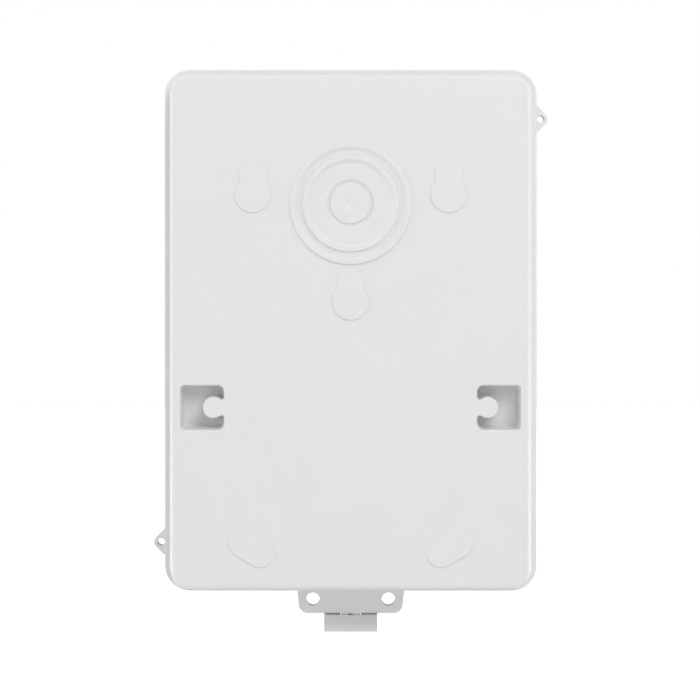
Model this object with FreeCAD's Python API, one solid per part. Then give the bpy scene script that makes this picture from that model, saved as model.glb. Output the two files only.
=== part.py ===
import FreeCAD, Part
import math
import os

# Weatherproof, surface-mounted consumer unit enclosure for eight modules, in millimetres.
# The back face lies in the plane Y = 0 and faces +Y. The lid faces -Y, and +Z is up.
# The origin is the centre of the back face.

os.makedirs("parts", exist_ok=True)
V = FreeCAD.Vector

# Overall sizes
OUTLINE_W = 200.0
OUTLINE_H = 280.0
OUTLINE_R = 13.8
CORNER_ARCS = 3
BASE_D = 60.0
LID_D = 50.0
WALL = 2.5
RIM_REACH = 2.2
RIM_D = 5.0
BASE_DRAFT = 7.0
LID_DRAFT = 4.5
BACK_R = 6.5
FRONT_R = 8.0
BACK_EDGE_R = 2.2
FRONT_EDGE_R = 5.0
RIM_EDGE_R = 0.9

# Closed wall-fixing pads and stepped cable knockout on the back
PAD_H = 0.8
PAD_EDGE_R = 0.5
MEMBRANE = 1.3
KEYHOLE_SMALL_R = 7.1
KEYHOLE_LARGE_R = 9.3
KEYHOLE_RISE = 10.2
KEYHOLE_WAIST_R = 2.5
KEYHOLE_BESIDE = 18.6
KEYHOLE_ABOVE = 4.6
KEYHOLE_BELOW = 50.2
SLOT_PAD_R = 7.3
SLOT_PAD_RUN = 10.0
SLOT_PAD_SLOPE = 30.0
SLOT_PAD_INSET = 49.5
SLOT_PAD_UP = 30.0
KNOCKOUT_DROP = 74.2
DIMPLE_R = 3.1
DIMPLE_D = 0.9
DISC_R = 10.2
DISC_EDGE = 0.3
DISC_GROOVE_R = 12.4
DISC_GROOVE_D = 1.1
RING_H = 1.3
RING_INNER_SLOPE = 1.9
RING_OUTER_SLOPE = 0.6
RING_EDGE_R = 0.35
INNER_RING_R = 20.7
INNER_RING_OUT_R = 25.0
OUTER_RING_R = 27.1
OUTER_RING_OUT_R = 31.4
CUT_LINE_W = 1.2
CUT_LINE_D = 1.3

# Rail pillars, whose backs are the side pockets
RAIL_UP = 101.7
RAIL_BOSS_INSET = 30.0
RAIL_BOSS_R = 5.35
POCKET_W = 22.5
POCKET_H = 22.8
POCKET_OFFSET = 5.7
POCKET_D = 12.0
POCKET_TAPER = 1.3
POCKET_OUTER_R = 2.2
POCKET_INNER_R = 3.2
POCKET_END_R = 1.4
POCKET_MOUTH_R = 0.7
POCKET_FLOOR_R = 0.5
PILOT_R = 1.5

# DIN rail, 35 mm top hat
RAIL_W = 35.0
RAIL_WEB_W = 27.0
RAIL_H = 7.5
RAIL_T = 1.0
RAIL_END_GAP = 15.0
RAIL_BEND_R = 0.4
RAIL_SLOT_R = 3.1
RAIL_SLOT_L = 15.0
RAIL_SLOT_PITCH = 25.0

# Seam ears, bottom flange and latch tongue
FLANGE_T = 4.0
EAR_REACH = 2.05
EAR_INSET = 26.3
EAR_R = 3.75
EAR_HOLE_R = 2.0
FLANGE_HALF_TOP = 29.1
FLANGE_HALF_FOOT = 28.1
FLANGE_DROP = 12.1
FLANGE_R = 4.9
FLANGE_HOLE_X = 20.3
FLANGE_HOLE_DROP = 4.6
FLANGE_HOLE_R = 3.6
TONGUE_W = 10.5
NOTCH_R = 1.4
NOTCH_D = 1.6

# Latch clasp
CLASP_W = 28.7
CLASP_DROP = 2.7
CLASP_SKIN = 1.2
CLASP_SKIN_OUT = 3.5
CLASP_LIP = 1.0
CLASP_LIP_BULGE = 0.35
CLASP_FOOT = 1.3
CLASP_GRIP = 1.5
CLASP_EDGE_R = 0.45
CLASP_SKIN_TOP = 1.4
CLASP_SIDE_GAP = 0.3
CLASP_PLAY = 0.3
LATCH_PIN_R = 1.0
LATCH_PIN_L = 26.0
PIN_END_R = 0.25

# Lid hinge at the top
HINGE_OFFSET = 3.5
HINGE_R = 1.9
HINGE_PIN_R = 0.9
HINGE_PIN_L = 20.0
HINGE_INSET = 38.0
HINGE_SINK = 0.1
LUG_W = 10.0
CHEEK_W = 5.0
SLOT_GAP = 0.3
RUNNING_GAP = 0.05

# Seal between base and lid
SEAL_INSET = 2.0
SEAL_W = 1.7
SEAL_D = 3.0

# Window in the lid
WINDOW_SIDE = 24.0
WINDOW_H = 62.0
WINDOW_R = 5.0
WINDOW_LAP = 4.0
WINDOW_FRAME = 3.0
WINDOW_REBATE = 3.0
WINDOW_SEAL_T = 1.0
WINDOW_T = 2.6
WINDOW_GAP = 0.25
WINDOW_EDGE_R = 0.6

# Module cover plate inside
MASK_GAP = 0.8
MASK_T = 2.0
MASK_SINK = 4.0
MASK_RISE = 10.0
MASK_HOOD_SIDE = 7.0
MASK_HOOD_END = 8.0
MASK_HOOD_R = 7.0
MASK_HOOD_TAPER = 3.0
MODULE_SIDE = 4.0
MODULE_H = 45.5
POST_INSET = 21.0
POST_R = 4.6
POST_TAPER = 0.8
RIB_T = 1.8

# Earth and neutral terminal bars
BAR_UP = 34.0
BAR_GAP = 14.0
BAR_ROOM = 26.0
TERMINAL_PITCH = 7.5
BAR_SIDE = 8.0
BAR_EDGE_R = 0.4
BAR_WIRE_R = 2.3
HOLDER_END = 10.5
HOLDER_W = 14.0
HOLDER_T = 3.0
HOLDER_CHEEK_T = 1.6
HOLDER_CHEEK_H = 5.0
HOLDER_SCREW_INSET = 5.0
STUD_R = 4.0
STUD_H = 8.0

# Screws and washers
SHANK_R = 1.4
HOLE_R = 2.2
HEAD_R = 3.6
HEAD_H = 2.2
DRIVE_W = 0.9
DRIVE_L = 4.4
DRIVE_D = 1.2
WASHER_R = 4.6
WASHER_T = 0.9
TERMINAL_R = 1.9
TERMINAL_HEAD_R = 2.6
TERMINAL_HEAD_H = 1.5

# Cable knockouts in the top and bottom walls
ENTRY_INSET = 50.0
ENTRY_R = 12.7
ENTRY_CUT_W = 0.9
ENTRY_CUT_D = 1.1

SEAM_Y = -BASE_D
FRONT_Y = -(BASE_D + LID_D)
WALL_INSET = RIM_REACH + WALL
HINGE_Y = SEAM_Y - HINGE_OFFSET
HINGE_Z = OUTLINE_H / 2 - HINGE_R - HINGE_SINK
HINGE_X = OUTLINE_W / 2 - HINGE_INSET
FLANGE_FOOT_Z = -OUTLINE_H / 2 - FLANGE_DROP
LATCH_Y = SEAM_Y + FLANGE_T / 2
LATCH_Z = FLANGE_FOOT_Z - CLASP_DROP
OVERLAP = 1.0
KNOCKOUT_Z = OUTLINE_H / 2 - KNOCKOUT_DROP
KEYHOLE_X = OUTER_RING_OUT_R + KEYHOLE_BESIDE
KEYHOLE_UPPER_Z = KNOCKOUT_Z + KEYHOLE_ABOVE
KEYHOLE_CENTRE_Z = KNOCKOUT_Z - KEYHOLE_BELOW
SLOT_PAD_X = OUTLINE_W / 2 - SLOT_PAD_INSET
SLOT_PAD_Z = SLOT_PAD_UP - OUTLINE_H / 2
RAIL_Z = RAIL_UP - OUTLINE_H / 2
RAIL_BOSS_X = OUTLINE_W / 2 - RAIL_BOSS_INSET
POCKET_X = RAIL_BOSS_X + POCKET_OFFSET
RAIL_L = OUTLINE_W - 2 * RAIL_END_GAP
RAIL_SLOTS = int((RAIL_L - RAIL_SLOT_L) / RAIL_SLOT_PITCH) + 1
EAR_X = OUTLINE_W / 2 + EAR_REACH
EAR_Z = OUTLINE_H / 2 - EAR_INSET
WINDOW_W = OUTLINE_W - 2 * WINDOW_SIDE
MASK_SEAT = BASE_D - MASK_SINK
MASK_HOOD_W = WINDOW_W + 2 * MASK_HOOD_SIDE
MASK_HOOD_H = WINDOW_H + 2 * MASK_HOOD_END
MODULE_W = WINDOW_W - 2 * MODULE_SIDE
POST_X = OUTLINE_W / 2 - POST_INSET
POST_Z = OUTLINE_H / 2 - POST_INSET
TERMINALS = int((OUTLINE_W / 2 - BAR_GAP / 2 - 2 * HOLDER_END - BAR_ROOM) / TERMINAL_PITCH)
BAR_L = TERMINALS * TERMINAL_PITCH
HOLDER_L = BAR_L + 2 * HOLDER_END
HOLDER_SCREW_X = HOLDER_L / 2 - HOLDER_SCREW_INSET
BAR_X = (HOLDER_L + BAR_GAP) / 2
BAR_Z = BAR_UP - OUTLINE_H / 2
ENTRY_X = OUTLINE_W / 2 - ENTRY_INSET


def at_angle(cx, cz, radius, degrees, y):
    """Point on a circle in the plane at depth y."""
    a = math.radians(degrees)
    return V(cx + radius * math.cos(a), y, cz + radius * math.sin(a))


def arc(cx, cz, radius, start, stop, y):
    """Circular edge in the plane at depth y, from one angle to another."""
    middle = (start + stop) / 2
    first = at_angle(cx, cz, radius, start, y)
    last = at_angle(cx, cz, radius, stop, y)
    return Part.Arc(first, at_angle(cx, cz, radius, middle, y), last).toShape()


def joined(edges):
    """Closed wire of the edges, with a straight edge across each gap."""
    whole = []
    for index, edge in enumerate(edges):
        following = edges[(index + 1) % len(edges)]
        whole.append(edge)
        here = edge.lastVertex(True).Point
        there = following.firstVertex(True).Point
        if here.distanceToPoint(there) > 1e-6:
            whole.append(Part.makeLine(here, there))
    return Part.Wire(whole)


def rounded_rectangle(width, height, radius, y, cx=0.0, cz=0.0):
    """Rounded rectangle in the plane at depth y."""
    x = width / 2 - radius
    z = height / 2 - radius
    corners = ((x, z, 0), (-x, z, 90), (-x, -z, 180), (x, -z, 270))
    edges = []
    for dx, dz, a in corners:
        for turn in range(a, a + 90, 90 // CORNER_ARCS):
            edges.append(arc(cx + dx, cz + dz, radius, turn, turn + 90 // CORNER_ARCS, y))
    return joined(edges)


def outline(inset, y, radius=None):
    """The enclosure's outline, moved inwards by the inset."""
    corner = OUTLINE_R - inset if radius is None else radius
    return rounded_rectangle(OUTLINE_W - 2 * inset, OUTLINE_H - 2 * inset, corner, y)


def slab(wire, depth):
    """Solid between a wire and its copy moved along Y by the depth."""
    return Part.Face(wire).extrude(V(0, depth, 0))


def between(wire_a, wire_b):
    """Drafted solid between two like outlines."""
    return Part.makeLoft([wire_a, wire_b], True, True)


def rod(x, z, radius, y, depth):
    """Round bar along Y, from y towards the front by the depth."""
    return Part.makeCylinder(radius, depth, V(x, y, z), V(0, -1, 0))


def cross_bar(x, y, z, radius, length):
    """Round bar along X, centred on x."""
    return Part.makeCylinder(radius, length, V(x - length / 2, y, z), V(1, 0, 0))


def box(x0, x1, y0, y1, z0, z1):
    """Block between two corners."""
    return Part.makeBox(x1 - x0, y1 - y0, z1 - z0, V(x0, y0, z0))


def rounded(solid, radius, chosen):
    """The solid with those edges rounded that the test picks."""
    return solid.makeFillet(radius, [edge for edge in solid.Edges if chosen(edge)])


def in_plane(edge, y):
    """Does the whole edge lie in the plane at depth y?"""
    points = [vertex.Point for vertex in edge.Vertexes]
    points.append(edge.valueAt((edge.FirstParameter + edge.LastParameter) / 2))
    return all(abs(point.y - y) < 1e-4 for point in points)


def along_x(edge):
    """Is the edge a straight one along X?"""
    ends = [vertex.Point for vertex in edge.Vertexes]
    return len(ends) == 2 and abs(ends[0].y - ends[1].y) + abs(ends[0].z - ends[1].z) < 1e-6


def along_y(edge):
    """Is the edge a straight one along Y?"""
    ends = [vertex.Point for vertex in edge.Vertexes]
    return len(ends) == 2 and abs(ends[0].x - ends[1].x) + abs(ends[0].z - ends[1].z) < 1e-6


def mirrored(shape):
    """Copy of the shape on the other side of the plane X = 0."""
    return shape.mirror(V(0, 0, 0), V(1, 0, 0))


def turned_rings(profile, z):
    """Ring turned about the knockout's axis from (radius, y) points."""
    points = [V(radius, y, z) for radius, y in profile]
    face = Part.Face(Part.makePolygon(points + points[:1]))
    return face.revolve(V(0, 0, z), V(0, 1, 0), 360)


def keyhole_outline(x, z, y, slim=0.0):
    """Keyhole of two merged circles, the small one above."""
    small = KEYHOLE_SMALL_R - slim
    large = KEYHOLE_LARGE_R - slim
    meet = (KEYHOLE_RISE**2 + large**2 - small**2) / (2 * KEYHOLE_RISE)
    low = math.degrees(math.asin(meet / large))
    high = math.degrees(math.asin((meet - KEYHOLE_RISE) / small))
    below = arc(x, z, large, low, -180 - low, y)
    above = arc(x, z + KEYHOLE_RISE, small, 180 - high, high, y)
    return joined([below, above])


def keyhole_pad(x, z):
    """Closed wall-fixing keyhole, raised from the back."""
    pad = slab(keyhole_outline(x, z, -OVERLAP), OVERLAP + PAD_H)
    pad = rounded(pad, KEYHOLE_WAIST_R, along_y)
    return rounded(pad, PAD_EDGE_R, lambda e: in_plane(e, PAD_H))


def slot_outline(y, slim=0.0):
    """Sloping slot, with its outer end higher, on the +X side."""
    radius = SLOT_PAD_R - slim
    slope = math.radians(SLOT_PAD_SLOPE)
    dx = SLOT_PAD_RUN / 2 * math.cos(slope)
    dz = SLOT_PAD_RUN / 2 * math.sin(slope)
    turn = SLOT_PAD_SLOPE
    outer = arc(SLOT_PAD_X + dx, SLOT_PAD_Z + dz, radius, turn - 90, turn + 90, y)
    inner = arc(SLOT_PAD_X - dx, SLOT_PAD_Z - dz, radius, turn + 90, turn + 270, y)
    return joined([outer, inner])


def slot_pad():
    """Closed sloping slot, raised from the back."""
    pad = slab(slot_outline(-OVERLAP), OVERLAP + PAD_H)
    return rounded(pad, PAD_EDGE_R, lambda e: in_plane(e, PAD_H))


def raised_ring(inner, outer):
    """Raised ring of the knockout, with sloping sides."""
    profile = (
        (inner, -OVERLAP),
        (inner, 0),
        (inner + RING_INNER_SLOPE, RING_H),
        (outer - RING_OUTER_SLOPE, RING_H),
        (outer, 0),
        (outer, -OVERLAP),
    )
    ring = turned_rings(profile, KNOCKOUT_Z)
    return rounded(ring, RING_EDGE_R, lambda e: in_plane(e, RING_H))


def knockout_cuts():
    """Dimple and groove outside, and cutting lines inside, of the stepped knockout."""
    dimple = turned_rings(((0, PAD_H), (DIMPLE_R, PAD_H), (DIMPLE_R, 0), (0, -DIMPLE_D)), KNOCKOUT_Z)
    groove_foot = DISC_R + 2 * DISC_EDGE
    groove_profile = (
        (DISC_R - DISC_EDGE, PAD_H),
        (DISC_R - DISC_EDGE, 0),
        (DISC_R, -DISC_EDGE),
        (groove_foot, -DISC_GROOVE_D),
        (groove_foot + DISC_EDGE, -DISC_GROOVE_D),
        (DISC_GROOVE_R, 0),
        (DISC_GROOVE_R, PAD_H),
    )
    cuts = [dimple, turned_rings(groove_profile, KNOCKOUT_Z)]
    for radius in (INNER_RING_R, OUTER_RING_OUT_R):
        line = rod(0, KNOCKOUT_Z, radius, CUT_LINE_D - WALL, WALL)
        line = line.cut(rod(0, KNOCKOUT_Z, radius - CUT_LINE_W, OVERLAP, 2 * WALL + OVERLAP))
        cuts.append(line)
    return cuts


def pocket_ring(shrink, y):
    """C-shaped hollow of the pocket on the +X side, round the boss, with rounded ends at its neck."""
    wall_x = POCKET_X - POCKET_W / 2 + shrink
    outer_x = POCKET_X + POCKET_W / 2 - shrink
    half = POCKET_H / 2 - shrink
    boss_r = RAIL_BOSS_R + shrink / 2
    end_r = POCKET_END_R - shrink / 2
    end_x = wall_x + end_r
    run = RAIL_BOSS_X - end_x
    rise = math.sqrt((boss_r + end_r) ** 2 - run**2)
    lean = math.degrees(math.atan2(rise, run))
    inner_x = wall_x + POCKET_INNER_R
    inner_z = half - POCKET_INNER_R
    corner_x = outer_x - POCKET_OUTER_R
    corner_z = half - POCKET_OUTER_R
    edges = [
        arc(inner_x, RAIL_Z + inner_z, POCKET_INNER_R, 180, 90, y),
        arc(corner_x, RAIL_Z + corner_z, POCKET_OUTER_R, 90, 0, y),
        arc(corner_x, RAIL_Z - corner_z, POCKET_OUTER_R, 0, -90, y),
        arc(inner_x, RAIL_Z - inner_z, POCKET_INNER_R, -90, -180, y),
        arc(end_x, RAIL_Z - rise, end_r, 180, lean, y),
        arc(RAIL_BOSS_X, RAIL_Z, boss_r, lean - 180, 180 - lean, y),
        arc(end_x, RAIL_Z + rise, end_r, -lean, -180, y),
    ]
    return joined(edges)


def pocket_void():
    """Hollow of the pocket with a rounded floor and mouth."""
    void = between(pocket_ring(0, 0), pocket_ring(POCKET_TAPER, -POCKET_D))
    void = rounded(void, POCKET_FLOOR_R, lambda e: in_plane(e, -POCKET_D))
    reach = POCKET_MOUTH_R + OVERLAP
    width = POCKET_W + 2 * reach
    height = POCKET_H + 2 * reach
    cover = slab(rounded_rectangle(width, height, POCKET_OUTER_R, 0, POCKET_X, RAIL_Z), OVERLAP)
    rim = POCKET_X + POCKET_W / 2 + OVERLAP / 2
    low = POCKET_X - POCKET_W / 2 - OVERLAP / 2
    top = POCKET_H / 2 + OVERLAP / 2
    inside = lambda p: low < p.x < rim and abs(p.z - RAIL_Z) < top
    at_mouth = lambda e: in_plane(e, 0) and all(inside(v.Point) for v in e.Vertexes)
    return rounded(void.fuse(cover), POCKET_MOUTH_R, at_mouth)


def rail_pillar():
    """Box-shaped pillar inside, round the pocket, that carries the rail."""
    width = POCKET_W + 2 * WALL
    height = POCKET_H + 2 * WALL
    draft = 2 * POCKET_TAPER
    top_y = -(POCKET_D + WALL)
    foot = rounded_rectangle(width, height, POCKET_INNER_R, -WALL / 2, POCKET_X, RAIL_Z)
    top = rounded_rectangle(width - draft, height - draft, POCKET_OUTER_R, top_y, POCKET_X, RAIL_Z)
    return between(foot, top)


def seam_ear(side, depth):
    """Sealing ear at the seam, reaching out on one side."""
    y = SEAM_Y
    tip = arc(side * EAR_X, side * -EAR_Z, EAR_R, -45, 45, y)
    if side < 0:
        tip = arc(side * EAR_X, side * -EAR_Z, EAR_R, 135, 225, y)
    run = EAR_R + RIM_REACH + WALL
    root_x = side * (EAR_X + EAR_R * math.cos(math.pi / 4) - run)
    rise = EAR_R * math.sin(math.pi / 4) + run
    centre_z = side * -EAR_Z
    upper = V(root_x, y, centre_z + side * rise)
    lower = V(root_x, y, centre_z - side * rise)
    ends = [tip.firstVertex(True).Point, tip.lastVertex(True).Point]
    edges = [
        tip,
        Part.makeLine(ends[1], upper),
        Part.makeLine(upper, lower),
        Part.makeLine(lower, ends[0]),
    ]
    ear = Part.Face(Part.Wire(edges)).extrude(V(0, depth, 0))
    return ear


def flange(depth):
    """Bottom flange at the seam."""
    top_z = -OUTLINE_H / 2 + WALL
    y = SEAM_Y
    foot = FLANGE_HALF_FOOT - FLANGE_R
    centre_z = FLANGE_FOOT_Z + FLANGE_R
    edges = [
        arc(foot, centre_z, FLANGE_R, 0, -90, y),
        arc(-foot, centre_z, FLANGE_R, -90, -180, y),
        Part.makeLine(V(-FLANGE_HALF_TOP, y, top_z), V(FLANGE_HALF_TOP, y, top_z)),
    ]
    return slab(joined(edges), depth)


def seam_holes():
    """Sealing and padlock holes, drilled through both halves."""
    holes = []
    for side in (-1, 1):
        length = 2 * (FLANGE_T + RIM_D)
        holes.append(rod(side * EAR_X, -side * EAR_Z, EAR_HOLE_R, SEAM_Y + length / 2, length))
        hole_z = -OUTLINE_H / 2 - FLANGE_HOLE_DROP
        holes.append(rod(side * FLANGE_HOLE_X, hole_z, FLANGE_HOLE_R, SEAM_Y + length / 2, length))
    return holes


def edge_of_seam_parts(solid, y):
    """Flange or ear with the edges of its free face softened."""
    return rounded(solid, RIM_EDGE_R / 2, lambda e: in_plane(e, y))


def entry_knockouts():
    """Circular cutting lines of the cable entries in the top and bottom walls."""
    tilt = math.degrees(math.atan(BASE_DRAFT / BASE_D))
    wall_z = OUTLINE_H / 2 - RIM_REACH - BASE_DRAFT / 2
    cuts = []
    for side in (-1, 1):
        for x in (-ENTRY_X, 0, ENTRY_X):
            centre = V(x, -BASE_D / 2, side * (wall_z - ENTRY_CUT_D))
            up = V(0, 0, side)
            line = Part.makeCylinder(ENTRY_R, WALL, centre, up)
            line = line.cut(Part.makeCylinder(ENTRY_R - ENTRY_CUT_W, WALL, centre, up))
            line.rotate(centre, V(1, 0, 0), -side * tilt)
            cuts.append(line)
    return cuts


def post(x, z):
    """Tapered screw post from the back wall to the module cover plate."""
    length = MASK_SEAT - WALL / 2
    return Part.makeCone(POST_R, POST_R - POST_TAPER, length, V(x, -WALL / 2, z), V(0, -1, 0))


def post_ribs(x, z):
    """Two ribs that tie a post to the side wall and to the end wall."""
    out_x = math.copysign(OUTLINE_W / 2, x)
    out_z = math.copysign(OUTLINE_H / 2, z)
    low = -(MASK_SEAT - 2 * MASK_T)
    side = box(min(x, out_x), max(x, out_x), low, -WALL / 2, z - RIB_T / 2, z + RIB_T / 2)
    end = box(x - RIB_T / 2, x + RIB_T / 2, low, -WALL / 2, min(z, out_z), max(z, out_z))
    return [side, end]


def post_places():
    """Centres of the four posts of the cover plate."""
    return [(x, z) for x in (-POST_X, POST_X) for z in (-POST_Z, POST_Z)]


def bar_sides():
    """Centres of the earth bar and the neutral bar."""
    return {"earth": -BAR_X, "neutral": BAR_X}


def stud_places():
    """Centres of the four studs of the bar holders."""
    return [(x + dx, BAR_Z) for x in bar_sides().values() for dx in (-HOLDER_SCREW_X, HOLDER_SCREW_X)]


def pilot(x, z, y_top, depth):
    """Blind screw hole from a boss's top towards the back."""
    return Part.makeCylinder(PILOT_R, depth, V(x, y_top, z), V(0, 1, 0))


def hinge_lug(x):
    """Lug on the rim of the base that carries a hinge pin."""
    top = HINGE_Z + HINGE_R
    bottom = HINGE_Z - HINGE_R
    arm = box(x - LUG_W / 2, x + LUG_W / 2, HINGE_Y, SEAM_Y, bottom, top)
    root = box(x - LUG_W / 2, x + LUG_W / 2, SEAM_Y, SEAM_Y + RIM_D / 2, HINGE_Z + RUNNING_GAP, top)
    lug = arm.fuse([root, cross_bar(x, HINGE_Y, HINGE_Z, HINGE_R, LUG_W)]).removeSplitter()
    return lug.cut(cross_bar(x, HINGE_Y, HINGE_Z, HINGE_PIN_R + RUNNING_GAP, 2 * LUG_W))


def base_outer():
    """Outside of the base: drafted body, rim, ears, flange and back pads."""
    back = outline(RIM_REACH + BASE_DRAFT, 0, BACK_R)
    body = between(back, outline(RIM_REACH, SEAM_Y))
    body = rounded(body, BACK_EDGE_R, lambda e: in_plane(e, 0))
    rim = slab(outline(0, SEAM_Y), RIM_D)
    rim = rounded(rim, RIM_EDGE_R, lambda e: in_plane(e, SEAM_Y + RIM_D))
    pieces = [rim]
    for side in (-1, 1):
        pieces.append(edge_of_seam_parts(seam_ear(side, FLANGE_T), SEAM_Y + FLANGE_T))
        pieces.append(keyhole_pad(side * KEYHOLE_X, KEYHOLE_UPPER_Z))
    pieces.append(edge_of_seam_parts(flange(FLANGE_T), SEAM_Y + FLANGE_T))
    pieces.append(keyhole_pad(0, KEYHOLE_CENTRE_Z))
    pieces.append(slot_pad())
    pieces.append(mirrored(slot_pad()))
    pieces.append(raised_ring(INNER_RING_R, INNER_RING_OUT_R))
    pieces.append(raised_ring(OUTER_RING_R, OUTER_RING_OUT_R))
    return body.fuse(pieces)


def base_hollow():
    """Inside of the base, open at the seam."""
    back_inset = RIM_REACH + BASE_DRAFT + WALL
    back = outline(back_inset, -WALL, BACK_R - WALL / 2)
    front = outline(WALL_INSET, SEAM_Y - OVERLAP)
    return between(back, front)


def fixing_recesses():
    """Thin-walled recesses behind the closed fixing pads, from inside."""
    y = -(WALL + OVERLAP)
    depth = OVERLAP + WALL + PAD_H - MEMBRANE
    slim = MEMBRANE
    cuts = [slab(keyhole_outline(0, KEYHOLE_CENTRE_Z, y, slim), depth)]
    cuts.append(slab(slot_outline(y, slim), depth))
    cuts.append(mirrored(slab(slot_outline(y, slim), depth)))
    for side in (-1, 1):
        cuts.append(slab(keyhole_outline(side * KEYHOLE_X, KEYHOLE_UPPER_Z, y, slim), depth))
    return cuts


def latch_tongue():
    """Centre knuckle below the flange that holds the latch pin."""
    half = TONGUE_W / 2
    neck = box(-half, half, SEAM_Y, SEAM_Y + FLANGE_T, LATCH_Z, FLANGE_FOOT_Z + OVERLAP)
    knuckle = cross_bar(0, LATCH_Y, LATCH_Z, FLANGE_T / 2, TONGUE_W)
    notch = rod(0, LATCH_Z + CLASP_SKIN_TOP, NOTCH_R, SEAM_Y + FLANGE_T, NOTCH_D)
    bore = cross_bar(0, LATCH_Y, LATCH_Z, LATCH_PIN_R + RUNNING_GAP, 2 * TONGUE_W)
    return neck.fuse(knuckle).removeSplitter(), notch, bore


def rear_shell():
    """The one-piece moulded base."""
    outer = base_outer()
    inside = [mirrored(rail_pillar()), rail_pillar()]
    for x, z in post_places():
        inside.append(post(x, z))
        inside += post_ribs(x, z)
    for x, z in stud_places():
        inside.append(rod(x, z, STUD_R, -WALL / 2, STUD_H + WALL / 2))
    limit = between(
        outline(RIM_REACH + BASE_DRAFT + WALL / 2, -WALL / 2, BACK_R),
        outline(RIM_REACH + WALL / 2, SEAM_Y),
    )
    inside = [shape.common(limit) for shape in inside]
    tongue, notch, bore = latch_tongue()
    shell = outer.cut(base_hollow()).fuse(inside + [tongue])
    cuts = fixing_recesses() + knockout_cuts() + seam_holes() + entry_knockouts()
    cuts += [pocket_void(), mirrored(pocket_void()), notch, bore]
    cuts.append(seal_ring(SEAL_INSET, SEAL_W, SEAL_D + OVERLAP, SEAM_Y - OVERLAP))
    for x, z in post_places():
        cuts.append(pilot(x, z, -MASK_SEAT, POCKET_D))
    for side in (-1, 1):
        cuts.append(pilot(side * RAIL_BOSS_X, RAIL_Z, -(POCKET_D + WALL), POCKET_D - WALL))
    for x, z in stud_places():
        cuts.append(pilot(x, z, -(WALL + STUD_H), STUD_H))
    shell = shell.cut(cuts)
    for side in (-1, 1):
        shell = shell.fuse(hinge_lug(side * HINGE_X))
    return shell.removeSplitter()


def seal_ring(inset, width, depth, y):
    """Ring that follows the rim, between two insets."""
    return slab(outline(inset, y), depth).cut(slab(outline(inset + width, y), depth))


def lid_seal():
    """Rubber ring that fills the groove in the rim."""
    return seal_ring(SEAL_INSET, SEAL_W, SEAL_D, SEAM_Y)


def window_wire(grow, y):
    """Outline of the window opening, grown all round."""
    width = WINDOW_W + 2 * grow
    height = WINDOW_H + 2 * grow
    return rounded_rectangle(width, height, WINDOW_R + grow, y, 0, RAIL_Z)


def hinge_slot(x):
    """Room in the lid round one lug, through its whole swing."""
    half = LUG_W / 2 + SLOT_GAP
    front = HINGE_Y - HINGE_R - OVERLAP
    bottom = HINGE_Z - HINGE_R - SLOT_GAP
    return box(x - half, x + half, front, SEAM_Y + OVERLAP, bottom, OUTLINE_H / 2 + OVERLAP)


def hinge_cheek(x):
    """Thickening of the lid beside a slot, round the pin."""
    length = LUG_W + 2 * (SLOT_GAP + CHEEK_W)
    return cross_bar(x, HINGE_Y, HINGE_Z, HINGE_R, length)


def rolling_edge():
    """What is trimmed off the lid's top edge so that it rolls past the rim of the base."""
    reach = OUTLINE_W
    upper = box(-reach, reach, HINGE_Y, SEAM_Y + OVERLAP, HINGE_Z, OUTLINE_H / 2 + OVERLAP)
    return upper.cut(cross_bar(0, HINGE_Y, HINGE_Z, HINGE_OFFSET - SLOT_GAP, 2 * reach))


def front_lid():
    """The one-piece moulded lid with its window frame."""
    front = outline(RIM_REACH + LID_DRAFT, FRONT_Y, FRONT_R)
    body = between(outline(RIM_REACH, SEAM_Y), front)
    body = rounded(body, FRONT_EDGE_R, lambda e: in_plane(e, FRONT_Y))
    rim = slab(outline(0, SEAM_Y), -RIM_D)
    rim = rounded(rim, RIM_EDGE_R, lambda e: in_plane(e, SEAM_Y - RIM_D))
    pieces = [rim, edge_of_seam_parts(flange(-FLANGE_T), SEAM_Y - FLANGE_T)]
    for side in (-1, 1):
        pieces.append(edge_of_seam_parts(seam_ear(side, -FLANGE_T), SEAM_Y - FLANGE_T))
        pieces.append(hinge_cheek(side * HINGE_X))
    inner_front = FRONT_Y + WALL
    hollow = between(
        outline(WALL_INSET, SEAM_Y),
        outline(WALL_INSET + LID_DRAFT, inner_front, FRONT_R - WALL),
    )
    hollow = rounded(hollow, FRONT_EDGE_R - WALL, lambda e: in_plane(e, inner_front))
    hollow = hollow.cut(slab(window_wire(WINDOW_LAP + WINDOW_FRAME, FRONT_Y), WALL + WINDOW_REBATE))
    lid = body.fuse(pieces).cut(hollow)
    cuts = [slab(window_wire(WINDOW_LAP, FRONT_Y - OVERLAP), OVERLAP + WINDOW_REBATE)]
    cuts.append(slab(window_wire(0, FRONT_Y - OVERLAP), LID_D))
    cuts += seam_holes() + [rolling_edge()]
    for side in (-1, 1):
        cuts.append(hinge_slot(side * HINGE_X))
        cuts.append(cross_bar(side * HINGE_X, HINGE_Y, HINGE_Z, HINGE_PIN_R, HINGE_PIN_L))
    return lid.cut(cuts).removeSplitter()


def pin(x, y, z, radius, length):
    """Steel pin along X with rounded ends."""
    return rounded(cross_bar(x, y, z, radius, length), PIN_END_R, lambda e: len(e.Vertexes) == 1)


def hinge_pins():
    """Two steel pins, held in the lid and turning in the lugs."""
    pins = [pin(s * HINGE_X, HINGE_Y, HINGE_Z, HINGE_PIN_R, HINGE_PIN_L) for s in (-1, 1)]
    return Part.makeCompound(pins)


def window_seal():
    """Flat gasket in the window's rebate."""
    y = FRONT_Y + WINDOW_REBATE
    lap = WINDOW_LAP - WINDOW_GAP
    return slab(window_wire(lap, y), -WINDOW_SEAL_T).cut(slab(window_wire(0, y), -WINDOW_SEAL_T))


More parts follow.
